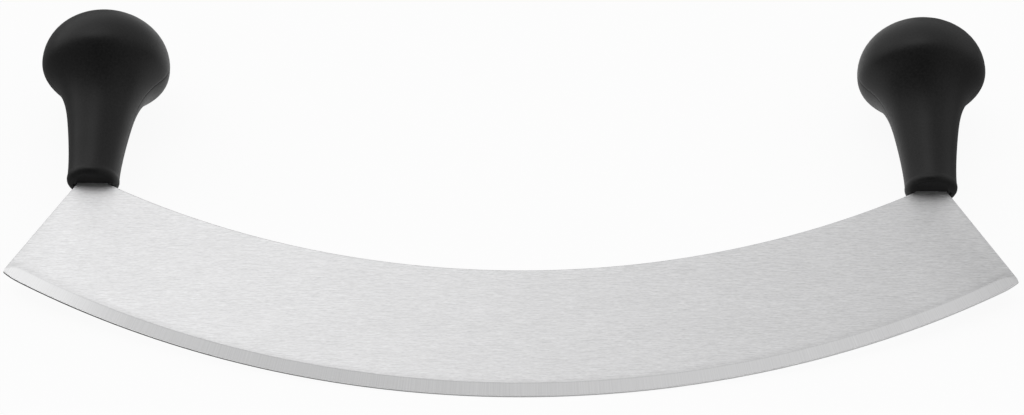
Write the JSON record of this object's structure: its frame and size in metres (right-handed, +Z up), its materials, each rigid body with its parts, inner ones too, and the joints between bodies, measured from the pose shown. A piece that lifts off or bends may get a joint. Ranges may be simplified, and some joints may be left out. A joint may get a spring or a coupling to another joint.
{
  "type": "pizza knife",
  "caption": "Curved stainless rocking pizza knife with a black plastic knob handle on each end, lying on its back.",
  "frame": {"origin": "centre of the bounding box's base, on the table that the knife lies on", "axes": "+X along the blade from tip to tip, +Y from the cutting edge to the knobs, +Z up from the table"},
  "size_m": [0.3988, 0.171, 0.0521],
  "materials": {
    "blade_steel": "satin, with a ground bevel and a fine honed edge",
    "black_plastic": "satin",
    "dowel_steel": "satin"
  },
  "bodies": {
    "root": {"blade": "blade_steel", "left_handle_front_shell": "black_plastic", "left_handle_back_shell": "black_plastic", "left_handle_lower_dowel": "dowel_steel", "left_handle_upper_dowel": "dowel_steel", "right_handle_front_shell": "black_plastic", "right_handle_back_shell": "black_plastic", "right_handle_lower_dowel": "dowel_steel", "right_handle_upper_dowel": "dowel_steel"}
  },
  "joints": []
}
